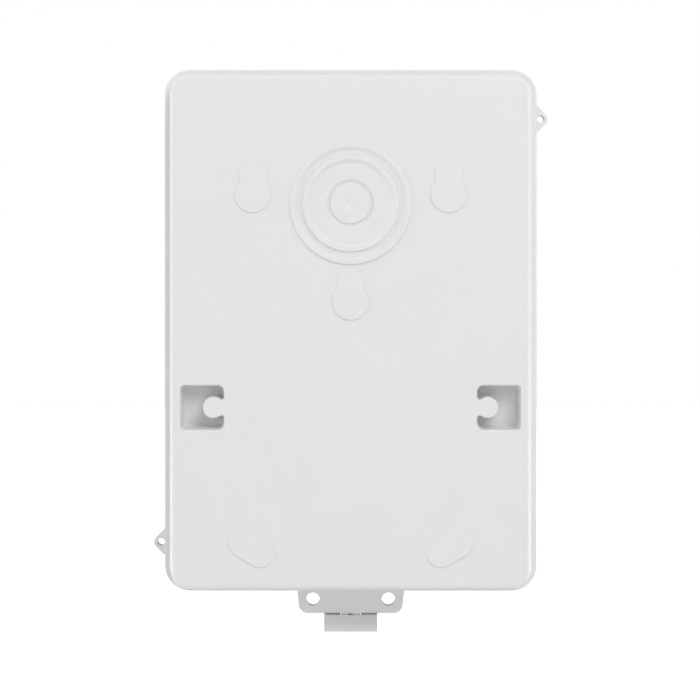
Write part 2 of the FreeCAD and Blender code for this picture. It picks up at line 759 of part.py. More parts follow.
def window_panel():
    """Clear smoked window that lies on the gasket."""
    y = FRONT_Y + WINDOW_REBATE - WINDOW_SEAL_T
    panel = slab(window_wire(WINDOW_LAP - WINDOW_GAP, y), -WINDOW_T)
    return rounded(panel, WINDOW_EDGE_R, lambda e: in_plane(e, y - WINDOW_T))


def clasp_section():
    """Side outline of the clasp: skin behind the pin, finger lip, and hook towards the lid."""
    x = -CLASP_W / 2
    skin_out = LATCH_Y + CLASP_SKIN_OUT
    skin_in = skin_out - CLASP_SKIN
    head_z = LATCH_Z + CLASP_SKIN_TOP
    grip_z = LATCH_Z - FLANGE_T - FLANGE_T / 2 - CLASP_PLAY
    foot_z = grip_z - CLASP_FOOT
    tip_y = LATCH_Y - CLASP_DROP - CLASP_GRIP
    bend_z = (LATCH_Z + foot_z) / 2
    points = [
        V(x, skin_out, bend_z),
        V(x, skin_out, head_z),
        V(x, skin_in, head_z),
        V(x, skin_in, grip_z),
        V(x, tip_y, grip_z),
        V(x, tip_y, foot_z),
        V(x, skin_out + CLASP_LIP, foot_z),
    ]
    edges = [Part.makeLine(a, b) for a, b in zip(points, points[1:])]
    middle = V(x, skin_out + CLASP_LIP_BULGE, (bend_z + foot_z) / 2)
    edges.append(Part.Arc(points[-1], middle, points[0]).toShape())
    section = Part.Face(Part.Wire(edges)).extrude(V(CLASP_W, 0, 0))
    return rounded(section, CLASP_EDGE_R, lambda e: along_x(e) and e.Vertexes[0].Z < foot_z + CLASP_EDGE_R)


def latch_clasp():
    """Moulded clasp, hanging open, with a knuckle on each side of the tongue."""
    clasp = clasp_section()
    half = TONGUE_W / 2 + CLASP_SIDE_GAP
    length = CLASP_W / 2 - half
    knuckle_r = FLANGE_T / 2
    bottom = LATCH_Z - knuckle_r
    for side in (-1, 1):
        middle = side * (half + length / 2)
        knuckle = cross_bar(middle, LATCH_Y, LATCH_Z, knuckle_r, length)
        low = middle - length / 2
        skin_out = LATCH_Y + CLASP_SKIN_OUT
        web = box(low, low + length, LATCH_Y, skin_out, bottom, LATCH_Z + knuckle_r)
        web = rounded(web, CLASP_EDGE_R, lambda e: along_x(e) and in_plane(e, skin_out))
        clasp = clasp.fuse([knuckle, web])
    return clasp.cut(cross_bar(0, LATCH_Y, LATCH_Z, LATCH_PIN_R, LATCH_PIN_L)).removeSplitter()


def latch_pin():
    """Steel pin across the clasp, through the tongue."""
    return pin(0, LATCH_Y, LATCH_Z, LATCH_PIN_R, LATCH_PIN_L)


def on_bend(edge, bends):
    """Does the edge run along the rail at one of those (reach, y) places?"""
    if not along_x(edge):
        return False
    point = edge.Vertexes[0].Point
    reach = abs(point.z - RAIL_Z)
    return any(abs(reach - out) + abs(point.y - y) < 1e-4 for out, y in bends)


def din_rail():
    """Bent steel top-hat rail with a row of slots."""
    y = -(POCKET_D + WALL)
    lip = RAIL_W / 2
    web = RAIL_WEB_W / 2
    profile = (
        (web, 0),
        (web, RAIL_H - RAIL_T),
        (lip, RAIL_H - RAIL_T),
        (lip, RAIL_H),
        (web - RAIL_T, RAIL_H),
        (web - RAIL_T, RAIL_T),
    )
    half = [(z, y - out) for z, out in profile]
    whole = half + [(-z, out) for z, out in reversed(half)]
    points = [V(-RAIL_L / 2, out, RAIL_Z + z) for z, out in whole]
    rail = Part.Face(Part.makePolygon(points + points[:1])).extrude(V(RAIL_L, 0, 0))
    inner = ((web - RAIL_T, y - RAIL_T), (web, y - RAIL_H + RAIL_T))
    outer = ((web, y), (web - RAIL_T, y - RAIL_H))
    rail = rounded(rail, RAIL_BEND_R, lambda e: on_bend(e, inner))
    rail = rounded(rail, RAIL_BEND_R + RAIL_T, lambda e: on_bend(e, outer))
    slots = []
    for index in range(RAIL_SLOTS):
        x = (index - (RAIL_SLOTS - 1) / 2) * RAIL_SLOT_PITCH
        half = RAIL_SLOT_L / 2 - RAIL_SLOT_R
        right = arc(x + half, RAIL_Z, RAIL_SLOT_R, -90, 90, y + OVERLAP)
        left = arc(x - half, RAIL_Z, RAIL_SLOT_R, 90, 270, y + OVERLAP)
        slots.append(slab(joined([right, left]), -(RAIL_T + 2 * OVERLAP)))
    return rail.cut(slots)


def pan_screw(x, z, seat_y, length):
    """Pan-head screw along Y, with its head towards the front."""
    head = rod(x, z, HEAD_R, seat_y, HEAD_H)
    head = rounded(head, HEAD_H / 2, lambda e: in_plane(e, seat_y - HEAD_H))
    shank = rod(x, z, SHANK_R, seat_y + length, length)
    screw = head.fuse(shank)
    top = seat_y - HEAD_H
    for dx, dz in ((DRIVE_L / 2, DRIVE_W / 2), (DRIVE_W / 2, DRIVE_L / 2)):
        screw = screw.cut(box(x - dx, x + dx, top, top + DRIVE_D, z - dz, z + dz))
    return screw


def rail_washers():
    """Washers between the rail screws' heads and the rail."""
    y = -(POCKET_D + WALL + RAIL_T)
    rings = []
    for side in (-1, 1):
        x = side * RAIL_BOSS_X
        rings.append(rod(x, RAIL_Z, WASHER_R, y, WASHER_T).cut(rod(x, RAIL_Z, HOLE_R, y, WASHER_T)))
    return Part.makeCompound(rings)


def rail_screws():
    """Screws that hold the rail on its two bosses."""
    seat = -(POCKET_D + WALL + RAIL_T + WASHER_T)
    length = POCKET_D - WALL
    return Part.makeCompound([pan_screw(s * RAIL_BOSS_X, RAIL_Z, seat, length) for s in (-1, 1)])


def hood_wire(grow, y):
    """Outline of the raised hood of the cover plate."""
    width = MASK_HOOD_W + 2 * grow
    height = MASK_HOOD_H + 2 * grow
    return rounded_rectangle(width, height, MASK_HOOD_R, y, 0, RAIL_Z)


def module_mask():
    """Moulded cover plate with a raised hood and an opening for the modules."""
    y = -MASK_SEAT
    plate = slab(outline(WALL_INSET + MASK_GAP, y, OUTLINE_R - WALL_INSET), -MASK_T)
    top = y - MASK_T - MASK_RISE
    hood = between(hood_wire(0, y - MASK_T), hood_wire(-MASK_HOOD_TAPER, top))
    hood = rounded(hood, MASK_T, lambda e: in_plane(e, top))
    hollow = between(hood_wire(-MASK_T, y), hood_wire(-MASK_T - MASK_HOOD_TAPER, top + MASK_T))
    opening = rounded_rectangle(MODULE_W, MODULE_H, MASK_T / 2, top - OVERLAP, 0, RAIL_Z)
    cuts = [hollow, slab(opening, MASK_RISE + MASK_T + 2 * OVERLAP)]
    for x, z in post_places():
        cuts.append(rod(x, z, HOLE_R, y + OVERLAP, MASK_T + 2 * OVERLAP))
    return plate.fuse(hood).cut(cuts).removeSplitter()


def mask_screws():
    """Screws that hold the cover plate on its posts."""
    seat = -(MASK_SEAT + MASK_T)
    length = POCKET_D
    return Part.makeCompound([pan_screw(x, z, seat, length) for x, z in post_places()])


def terminal_places(centre):
    """Middle of each terminal of a bar."""
    return [centre + (i - (TERMINALS - 1) / 2) * TERMINAL_PITCH for i in range(TERMINALS)]


def bar_back():
    """Depth of the face on which the bars lie."""
    return -(WALL + STUD_H + HOLDER_T)


def terminal_bar(centre):
    """Brass bar with a wire hole and a screw hole for each terminal."""
    back = bar_back()
    half = BAR_L / 2
    low = BAR_Z - BAR_SIDE / 2
    bar = box(centre - half, centre + half, back - BAR_SIDE, back, low, low + BAR_SIDE)
    bar = rounded(bar, BAR_EDGE_R, along_x)
    cuts = []
    for x in terminal_places(centre):
        wire = Part.makeCylinder(BAR_WIRE_R, BAR_SIDE, V(x, back - BAR_SIDE / 2, low), V(0, 0, 1))
        cuts.append(wire)
        cuts.append(rod(x, BAR_Z, TERMINAL_R, back - BAR_SIDE / 2, BAR_SIDE / 2))
    return bar.cut(cuts)


def terminal_screws(centre):
    """Slotted screws of one bar, at the top of their holes."""
    top = bar_back() - BAR_SIDE
    shank = BAR_SIDE / 2 - BAR_WIRE_R
    screws = []
    for x in terminal_places(centre):
        screw = rod(x, BAR_Z, TERMINAL_HEAD_R, top, TERMINAL_HEAD_H)
        screw = screw.fuse(rod(x, BAR_Z, TERMINAL_R, top + shank, shank))
        slot_top = top - TERMINAL_HEAD_H
        reach = TERMINAL_HEAD_R + OVERLAP
        half = DRIVE_W / 2
        slot = box(x - reach, x + reach, slot_top, slot_top + DRIVE_W, BAR_Z - half, BAR_Z + half)
        screws.append(screw.cut(slot))
    return Part.makeCompound(screws)


def bar_holder(centre):
    """Moulded carrier with two cheeks that grip a bar."""
    back = -(WALL + STUD_H)
    wire = rounded_rectangle(HOLDER_L, HOLDER_W, STUD_R, back, centre, BAR_Z)
    holder = slab(wire, -HOLDER_T)
    for side in (-1, 1):
        edge = centre + side * BAR_L / 2
        outer = edge + side * HOLDER_CHEEK_T
        low = BAR_Z - BAR_SIDE / 2
        front = back - HOLDER_T - HOLDER_CHEEK_H
        cheek = box(min(edge, outer), max(edge, outer), front, back, low, low + BAR_SIDE)
        holder = holder.fuse(cheek)
    for dx in (-HOLDER_SCREW_X, HOLDER_SCREW_X):
        holder = holder.cut(rod(centre + dx, BAR_Z, HOLE_R, back + OVERLAP, HOLDER_T + 2 * OVERLAP))
    return holder.removeSplitter()


def holder_screws():
    """Screws that hold both bar holders on their studs."""
    seat = bar_back()
    length = STUD_H
    return Part.makeCompound([pan_screw(x, z, seat, length) for x, z in stud_places()])


def save(name, shape):
    """Write one node."""
    shape.exportStep("parts/" + name + ".step")


save("rear_shell", rear_shell())
save("front_lid", front_lid())
save("hinge_pins", hinge_pins())
save("lid_seal", lid_seal())
save("window_seal", window_seal())
save("window_panel", window_panel())
save("latch_clasp", latch_clasp())
save("latch_pin", latch_pin())
save("din_rail", din_rail())
save("rail_washers", rail_washers())
save("rail_screws", rail_screws())
save("module_mask", module_mask())
save("mask_screws", mask_screws())
save("holder_screws", holder_screws())
for side_name, side_x in bar_sides().items():
    save(side_name + "_bar", terminal_bar(side_x))
    save(side_name + "_bar_holder", bar_holder(side_x))
    save(side_name + "_terminal_screws", terminal_screws(side_x))
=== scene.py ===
import bpy
import math
from mathutils import Matrix, Vector


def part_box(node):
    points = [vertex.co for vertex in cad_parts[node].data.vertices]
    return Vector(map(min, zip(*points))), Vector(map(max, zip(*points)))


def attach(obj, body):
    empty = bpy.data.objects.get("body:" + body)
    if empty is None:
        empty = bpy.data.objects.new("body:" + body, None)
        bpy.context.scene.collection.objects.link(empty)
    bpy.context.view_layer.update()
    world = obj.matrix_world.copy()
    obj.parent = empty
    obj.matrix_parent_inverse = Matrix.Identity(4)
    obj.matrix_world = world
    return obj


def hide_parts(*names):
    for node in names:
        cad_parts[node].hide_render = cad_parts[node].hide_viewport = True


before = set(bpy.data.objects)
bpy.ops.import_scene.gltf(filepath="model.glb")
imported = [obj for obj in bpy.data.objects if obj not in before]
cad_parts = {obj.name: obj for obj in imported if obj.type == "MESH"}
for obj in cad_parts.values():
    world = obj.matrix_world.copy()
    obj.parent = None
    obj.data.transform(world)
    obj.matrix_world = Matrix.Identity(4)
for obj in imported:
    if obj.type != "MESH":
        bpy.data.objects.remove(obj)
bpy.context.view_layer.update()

# Camera: straight at the back, a metre off, a little above the middle
# The view is shifted down instead of tilted, so that upright edges stay upright.
bpy.ops.object.select_all(action="DESELECT")
bpy.ops.object.camera_add(location=(-0.0015, 1.030, 0.0217), rotation=(math.pi / 2, 0, math.pi))
camera = bpy.context.object
camera.name = "photo_camera"
camera.data.lens = 103.9
camera.data.sensor_width = 36
camera.data.shift_x = -0.005
camera.data.shift_y = -0.0857
bpy.context.scene.camera = camera
bpy.context.scene.view_settings.view_transform = "Standard"


# Studio: pale floor, white surroundings and soft lamps
# The box hangs above a pale floor. The surroundings are plain white to the eye and to
# glossy and clear surfaces, and light the object less strongly than they look.
def linear(code):
    """sRGB hex code to the linear colour that the shaders take."""
    parts = [int(code[i:i + 2], 16) / 255 for i in (0, 2, 4)]
    curve = [c / 12.92 if c <= 0.04045 else ((c + 0.055) / 1.055) ** 2.4 for c in parts]
    return (*curve, 1)


def add(tree, kind, settings, links):
    """One shader node: capital names and numbers are sockets, the others its own settings."""
    node = tree.nodes.new(kind)
    for key, value in settings.items():
        if isinstance(key, int) or key[0].isupper():
            node.inputs[key].default_value = value
        else:
            setattr(node, key, value)
    for key, source in links.items():
        tree.links.new(source, node.inputs[key])
    return node


def seen_directly(tree):
    """1 for rays from the eye, off a glossy surface or through a clear one."""
    rays = add(tree, "ShaderNodeLightPath", {}, {})
    either = add(tree, "ShaderNodeMath", {"operation": "MAXIMUM"},
                 {0: rays.outputs["Is Camera Ray"], 1: rays.outputs["Is Glossy Ray"]})
    return add(tree, "ShaderNodeMath", {"operation": "MAXIMUM"},
               {0: either.outputs[0], 1: rays.outputs["Is Transmission Ray"]}).outputs[0]


def empty_material(name):
    """A new material and its node tree, cleared."""
    material = bpy.data.materials.new(name)
    material.use_nodes = True
    material.node_tree.nodes.clear()
    return material, material.node_tree


world = bpy.data.worlds.new("studio_white")
bpy.context.scene.world = world
world.use_nodes = True
air = world.node_tree
air.nodes.clear()
# a light tent: its left and right sides are the brightest, its front and back the dimmest
tent_level, side_gain, end_loss = 0.66, 0.66, 0.42
way = add(air, "ShaderNodeTexCoord", {}, {}).outputs["Generated"]
axes = add(air, "ShaderNodeSeparateXYZ", {}, {"Vector": way}).outputs
across = add(air, "ShaderNodeMath", {"operation": "MULTIPLY"}, {0: axes["X"], 1: axes["X"]})
along = add(air, "ShaderNodeMath", {"operation": "MULTIPLY"}, {0: axes["Y"], 1: axes["Y"]})
sides = add(air, "ShaderNodeMath",
            {"operation": "MULTIPLY_ADD", 1: side_gain, 2: tent_level},
            {0: across.outputs[0]})
level = add(air, "ShaderNodeMath", {"operation": "MULTIPLY_ADD", 1: -end_loss},
            {0: along.outputs[0], 2: sides.outputs[0]})
soft = add(air, "ShaderNodeBackground", {"Color": linear("F7F8FA")},
           {"Strength": level.outputs[0]})
white = add(air, "ShaderNodeBackground", {"Color": linear("FFFFFF"), "Strength": 1.0}, {})
blend = add(air, "ShaderNodeMixShader", {},
            {0: seen_directly(air), 1: soft.outputs[0], 2: white.outputs[0]})
add(air, "ShaderNodeOutputWorld", {}, {"Surface": blend.outputs[0]})

floor_width, floor_z, floor_glow = 9, -0.300, 0.75
bpy.ops.mesh.primitive_plane_add(size=floor_width, location=(0, 0, floor_z))
floor = bpy.context.object
floor.name = "studio_floor"
paper, sheet = empty_material("pale_paper")
matt = add(sheet, "ShaderNodeBsdfDiffuse", {"Color": linear("ECECEB"), "Roughness": 0.6}, {})
part = add(sheet, "ShaderNodeMath", {"operation": "MULTIPLY", 1: floor_glow},
           {0: seen_directly(sheet)})
glow = add(sheet, "ShaderNodeEmission", {"Color": linear("FFFFFF")},
           {"Strength": part.outputs[0]})
both = add(sheet, "ShaderNodeAddShader", {}, {0: matt.outputs[0], 1: glow.outputs[0]})
add(sheet, "ShaderNodeOutputMaterial", {}, {"Surface": both.outputs[0]})
floor.data.materials.append(paper)

# name, place, size in metres, watts
for name, place, width, watts in (
    ("key_upper_right", (-0.62, 1.40, 1.08), 1.1, 13),
    ("fill_left", (1.70, 0.70, 0.10), 1.4, 6),
    ("front_key", (1.1, -1.5, 1.1), 1.2, 8),
    ("front_fill", (-1.5, -1.3, 0.2), 1.4, 2.5),
):
    bpy.ops.object.light_add(type="AREA", location=place)
    lamp = bpy.context.object
    lamp.name = name
    lamp.data.shape = "DISK"
    lamp.data.size = width
    lamp.data.energy = watts
    lamp.rotation_euler = (-Vector(place)).to_track_quat("-Z", "Y").to_euler()


# Rear shell: the moulded base, back towards the viewer
# Injection-moulded off-white ABS, in one piece with its rim, pads, knockout, pockets, ears,
# flange and latch tongue. The mould is spark-eroded: a very fine grain and a satin sheen.
def moulded(name, code, grain, low, high):
    """Moulded plastic: faint flow clouds, grain of that size in mm, roughness low to high."""
    material, tree = empty_material(name)
    place = add(tree, "ShaderNodeTexCoord", {}, {}).outputs["Object"]
    cloud_mm, cloud_tone = 40, 0.975
    cloud = add(tree, "ShaderNodeTexNoise", {"Scale": 1000 / cloud_mm, "Detail": 2.0},
                {"Vector": place})
    colour = linear(code)
    deeper = tuple(c * cloud_tone for c in colour[:3]) + (1,)
    tone = add(tree, "ShaderNodeMix", {"data_type": "RGBA", 6: deeper, 7: colour},
               {0: cloud.outputs["Fac"]})
    fine = add(tree, "ShaderNodeTexNoise",
               {"Scale": 1000 / grain, "Detail": 3.0, "Roughness": 0.6}, {"Vector": place})
    sheen = add(tree, "ShaderNodeMapRange",
                {"From Min": 0.3, "From Max": 0.7, "To Min": low, "To Max": high},
                {"Value": fine.outputs["Fac"]})
    relief = add(tree, "ShaderNodeBump", {"Strength": 0.22, "Distance": grain / 1000 / 8},
                 {"Height": fine.outputs["Fac"]})
    body = add(tree, "ShaderNodeBsdfPrincipled", {"IOR": 1.53, "Specular IOR Level": 0.4},
               {"Base Color": tone.outputs[2], "Roughness": sheen.outputs[0],
                "Normal": relief.outputs[0]})
    add(tree, "ShaderNodeOutputMaterial", {}, {"Surface": body.outputs[0]})
    return material


def dress(node, material):
    """The CAD node takes that material in each of its slots."""
    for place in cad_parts[node].material_slots:
        place.material = material


# the real grain is about 0.1 mm; it is drawn at 0.5 mm so that it shows
shell_abs = moulded("off_white_moulded_ABS", "E4E4E3", 0.5, 0.40, 0.50)
dress("rear_shell", shell_abs)

# Front lid: the moulded cover, hinged at its top edge
# The same off-white ABS as the base, from a mould of the same finish, so it takes a like
# material with a smoother grain on its show side.
lid_abs = moulded("off_white_moulded_ABS_lid", "E7E7E6", 0.5, 0.36, 0.46)
dress("front_lid", lid_abs)

# Hinge pins and latch pin: drawn steel wire, cut and deburred
# Bright zinc plate over drawn wire: fine lines run along the pin, which is along X.
def plated(name, code, stretch, line, low, high):
    """Metal with lines of that width in mm, drawn out along X, and roughness low to high."""
    material, tree = empty_material(name)
    place = add(tree, "ShaderNodeTexCoord", {}, {}).outputs["Object"]
    drawn = add(tree, "ShaderNodeMapping", {"Scale": (1 / stretch, 1, 1)}, {"Vector": place})
    lines = add(tree, "ShaderNodeTexNoise", {"Scale": 1000 / line, "Detail": 3.0},
                {"Vector": drawn.outputs[0]})
    crystal_mm, crystal_tone = 6, 0.86
    crystal = add(tree, "ShaderNodeTexNoise", {"Scale": 1000 / crystal_mm, "Detail": 2.0},
                  {"Vector": place})
    colour = linear(code)
    dull = tuple(c * crystal_tone for c in colour[:3]) + (1,)
    tone = add(tree, "ShaderNodeMix", {"data_type": "RGBA", 6: dull, 7: colour},
               {0: crystal.outputs["Fac"]})
    sheen = add(tree, "ShaderNodeMapRange",
                {"From Min": 0.3, "From Max": 0.7, "To Min": low, "To Max": high},
                {"Value": lines.outputs["Fac"]})
    relief = add(tree, "ShaderNodeBump", {"Strength": 0.15, "Distance": line / 1000 / 6},
                 {"Height": lines.outputs["Fac"]})
    body = add(tree, "ShaderNodeBsdfPrincipled", {"Metallic": 1.0},
               {"Base Color": tone.outputs[2], "Roughness": sheen.outputs[0],
                "Normal": relief.outputs[0]})
    add(tree, "ShaderNodeOutputMaterial", {}, {"Surface": body.outputs[0]})
    return material


pin_steel = plated("drawn_zinc_plated_steel_pin", "C9CBCC", 12, 0.25, 0.22, 0.36)
dress("hinge_pins", pin_steel)
dress("latch_pin", pin_steel)


# Lid seal: poured polyurethane foam bead in the groove of the rim
# A soft closed ring, 1.7 mm wide and 3 mm deep. Its free top is crowned, and its skin is
# matt with small pores.
def soft_rubber(name, code, pore):
    """Matt foam rubber with pores of that size in mm."""
    material, tree = empty_material(name)
    place = add(tree, "ShaderNodeTexCoord", {}, {}).outputs["Object"]
    pores = add(tree, "ShaderNodeTexVoronoi", {"Scale": 1000 / pore}, {"Vector": place})
    # the pore pits that the bump sinks are painted darker: painted shade in the pores
    colour = linear(code)
    lighter = tuple(min(1, c * 1.35 + 0.004) for c in colour[:3]) + (1,)
    tone = add(tree, "ShaderNodeMix", {"data_type": "RGBA", 6: colour, 7: lighter},
               {0: pores.outputs["Distance"]})
    relief = add(tree, "ShaderNodeBump", {"Strength": 0.4, "Distance": pore / 1000 / 5},
                 {"Height": pores.outputs["Distance"]})
    body = add(tree, "ShaderNodeBsdfPrincipled",
               {"Roughness": 0.78, "IOR": 1.5, "Sheen Weight": 0.15, "Sheen Roughness": 0.5},
               {"Base Color": tone.outputs[2], "Normal": relief.outputs[0]})
    add(tree, "ShaderNodeOutputMaterial", {}, {"Surface": body.outputs[0]})
    return material


def flat_ring(name, node, corner, width, edge):
    """Closed ring in the box of a CAD node: corner radius, width of its band, edge rounding."""
    low, high = (Vector(c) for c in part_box(node))
    middle = (low + high) / 2
    bpy.ops.object.select_all(action="DESELECT")
    bpy.ops.mesh.primitive_plane_add(size=1, location=(middle.x, low.y, middle.z),
                                     rotation=(math.pi / 2, 0, 0))
    ring = bpy.context.object
    ring.name = name
    ring.scale = (high.x - low.x, high.z - low.z, 1)
    bpy.ops.object.transform_apply(location=True, rotation=True, scale=True)
    bpy.ops.object.mode_set(mode="EDIT")
    bpy.ops.mesh.bevel(offset=corner, segments=10, affect="VERTICES")
    bpy.ops.mesh.inset(thickness=width)
    bpy.ops.mesh.delete(type="FACE")
    bpy.ops.object.mode_set(mode="OBJECT")
    wall = ring.modifiers.new("thickness", "SOLIDIFY")
    wall.thickness = high.y - low.y
    wall.offset = -1
    crown = ring.modifiers.new("crown", "BEVEL")
    crown.width = edge
    crown.segments = 4
    crown.limit_method = "ANGLE"
    crown.angle_limit = math.radians(50)
    for modifier in list(ring.modifiers):
        bpy.ops.object.modifier_apply(modifier=modifier.name)
    bpy.ops.object.shade_smooth_by_angle(angle=math.radians(40))
    return ring


seal = flat_ring("lid_seal_bead", "lid_seal", corner=0.0115, width=0.0017, edge=0.0006)
seal.data.materials.append(soft_rubber("grey_polyurethane_foam", "4A4B4C", 0.5))
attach(seal, "base")
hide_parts("lid_seal")

# Window gasket: flat ring, punched from EPDM sheet
# It lies in the window's rebate under the panel, black and matt, with slightly rounded edges.
gasket = flat_ring("window_gasket", "window_seal", corner=0.00875, width=0.00375, edge=0.0002)
gasket.data.materials.append(soft_rubber("black_EPDM_sheet", "1F2021", 0.4))
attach(gasket, "lid")
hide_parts("window_seal")

# Window: clear smoked polycarbonate, pressed onto the gasket
# Polished, so it is glassy, with a brown-grey tint and faint flow marks.
smoked, tree = empty_material("smoked_clear_polycarbonate")
flow_mm = 30
place = add(tree, "ShaderNodeTexCoord", {}, {}).outputs["Object"]
flow = add(tree, "ShaderNodeTexNoise", {"Scale": 1000 / flow_mm, "Detail": 1.0},
           {"Vector": place})
tint = add(tree, "ShaderNodeMix",
           {"data_type": "RGBA", 6: linear("837D76"), 7: linear("8B857E")},
           {0: flow.outputs["Fac"]})
gloss = add(tree, "ShaderNodeMapRange", {"To Min": 0.02, "To Max": 0.06},
            {"Value": flow.outputs["Fac"]})
clear = add(tree, "ShaderNodeBsdfPrincipled", {"IOR": 1.585, "Transmission Weight": 1.0},
            {"Base Color": tint.outputs[2], "Roughness": gloss.outputs[0]})
add(tree, "ShaderNodeOutputMaterial", {}, {"Surface": clear.outputs[0]})
dress("window_panel", smoked)

# Latch clasp: moulded ABS, coloured darker than the shell: partly a greyer tone of its own, partly
# painted shade from the box above it
# One moulding: a skin whose foot curves in to the hook for the lid's flange, and two knuckles
# that are pressed onto the latch pin. Its mould is polished less, so its sheen is flatter.
def only(piece):
    """Just this piece is selected and active."""
    bpy.ops.object.select_all(action="DESELECT")
    piece.select_set(True)
    bpy.context.view_layer.objects.active = piece


def combine(piece, tool, operation):
    """Joins the tool to the piece or cuts it out, then removes the tool."""
    change = piece.modifiers.new("change", "BOOLEAN")
    change.operation = operation
    change.solver = "EXACT"
    change.object = tool
    only(piece)
    bpy.ops.object.modifier_apply(modifier="change")
    bpy.data.objects.remove(tool)


def ease(piece, size):
    """Rounds the sharp edges of a piece."""
    edge = piece.modifiers.new("edge", "BEVEL")
    edge.width = size
    edge.segments = 3
    edge.limit_method = "ANGLE"
    edge.angle_limit = math.radians(30)
    only(piece)
    bpy.ops.object.modifier_apply(modifier="edge")


def block(middle, size, turn):
    """Box about a point, turned about Y."""
    bpy.ops.object.select_all(action="DESELECT")
    bpy.ops.mesh.primitive_cube_add(size=1, location=middle, rotation=(0, turn, 0), scale=size)
    solid = bpy.context.object
    bpy.ops.object.transform_apply(location=True, rotation=True, scale=True)
    return solid


hinge_y, hinge_z = -0.0580, -0.1548


def bar_across(x, radius, length):
    """Round bar along X about the axis of the latch hinge."""
    bpy.ops.object.select_all(action="DESELECT")
    bpy.ops.mesh.primitive_cylinder_add(vertices=48, radius=radius, depth=length,
                                        location=(x, hinge_y, hinge_z),
                                        rotation=(0, math.pi / 2, 0))
    bar = bpy.context.object
    bpy.ops.object.transform_apply(location=True, rotation=True, scale=True)
    return bar


# depth and height of the section's corners in mm: down the skin, round the hook and up again
section = (
    (-54.85, -152.8), (-53.75, -157.2), (-53.74, -157.9), (-53.90, -158.6), (-54.20, -159.3),
    (-54.65, -160.0), (-55.25, -160.7), (-56.05, -161.4), (-57.00, -162.0), (-57.80, -162.4),
    (-62.20, -162.4), (-62.20, -161.1), (-57.60, -161.1), (-56.50, -160.3), (-55.60, -159.4),
    (-55.10, -158.6), (-54.85, -157.8), (-54.85, -157.2), (-55.70, -152.8),
)
clasp_half = 0.01435
knuckle_x, knuckle_r, knuckle_l = 0.00995, 0.0025, 0.0088
web_y, web_z, web_size = -0.056475, -0.1549, (0.0086, 0.00305, 0.0034)
# the bore is 0.02 mm larger all round than the pin
bore_r, bore_l = 0.00102, 0.02604
bpy.ops.object.select_all(action="DESELECT")
bpy.ops.mesh.primitive_circle_add(vertices=len(section), fill_type="NGON")
clasp = bpy.context.object
clasp.name = "clasp_moulding"
for point, (y, z) in zip(clasp.data.vertices, section):
    point.co = (-clasp_half, y / 1000, z / 1000)
bpy.ops.object.mode_set(mode="EDIT")
bpy.ops.mesh.select_all(action="SELECT")
bpy.ops.mesh.extrude_region_move(TRANSFORM_OT_translate={"value": (2 * clasp_half, 0, 0)})
bpy.ops.mesh.select_all(action="SELECT")
bpy.ops.mesh.normals_make_consistent(inside=False)
bpy.ops.object.mode_set(mode="OBJECT")
ease(clasp, 0.0002)
for side in (-1, 1):
    knuckle = bar_across(side * knuckle_x, knuckle_r, knuckle_l)
    ease(knuckle, 0.00015)
    combine(clasp, knuckle, "UNION")
    combine(clasp, block((side * knuckle_x, web_y, web_z), web_size, 0), "UNION")
combine(clasp, bar_across(0, bore_r, bore_l), "DIFFERENCE")
only(clasp)
bpy.ops.object.shade_smooth_by_angle(angle=math.radians(35))
# its colour DCDCDB is partly the clasp's own greyer ABS and partly painted shade of the box that
# overhangs it
clasp.data.materials.append(moulded("moulded_ABS_clasp_greyer_with_painted_shade", "DCDCDB", 0.4, 0.45, 0.55))
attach(clasp, "latch")
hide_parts("latch_clasp")

# Module cover plate: moulded ABS, on four posts of the base
# Lighter and glossier than the shell, as inner parts mostly are.
mask_abs = moulded("white_moulded_ABS_plate", "ECECEA", 0.6, 0.30, 0.40)
dress("module_mask", mask_abs)

# DIN rail and washers: rolled steel strip, zinc-plated and passivated
# Rolling lines run along the rail, which is along X, and the plate has a slight blue cast.
rail_steel = plated("rolled_zinc_plated_steel", "C4C8CC", 30, 0.4, 0.28, 0.42)
dress("din_rail", rail_steel)
dress("rail_washers", rail_steel)


# Screws: pan heads with a cross recess, rolled threads, zinc-plated
# Two hold the rail, four the cover plate and four the bar holders. Each is headed from steel
# wire, its thread is rolled, and the plate is bright.
def soften_rim(piece, y, size, steps):
    """Bevels the edges of a turned piece that lie in the plane at y."""
    only(piece)
    bpy.ops.object.mode_set(mode="EDIT")
    bpy.ops.mesh.select_mode(type="EDGE")
    bpy.ops.mesh.select_all(action="DESELECT")
    bpy.ops.object.mode_set(mode="OBJECT")
    points = piece.data.vertices
    for edge in piece.data.edges:
        edge.select = all(abs(points[i].co.y - y) < 1e-6 for i in edge.vertices)
    bpy.ops.object.mode_set(mode="EDIT")
    bpy.ops.mesh.bevel(offset=size, segments=steps, affect="EDGES")
    bpy.ops.object.mode_set(mode="OBJECT")


def turned(radius, y_low, y_high, sides):
    """Turned blank along Y between two depths."""
    bpy.ops.object.select_all(action="DESELECT")
    bpy.ops.mesh.primitive_cylinder_add(vertices=sides, radius=radius, depth=y_high - y_low,
                                        location=(0, (y_low + y_high) / 2, 0),
                                        rotation=(math.pi / 2, 0, 0))
    blank = bpy.context.object
    bpy.ops.object.transform_apply(location=True, rotation=True, scale=True)
    return blank


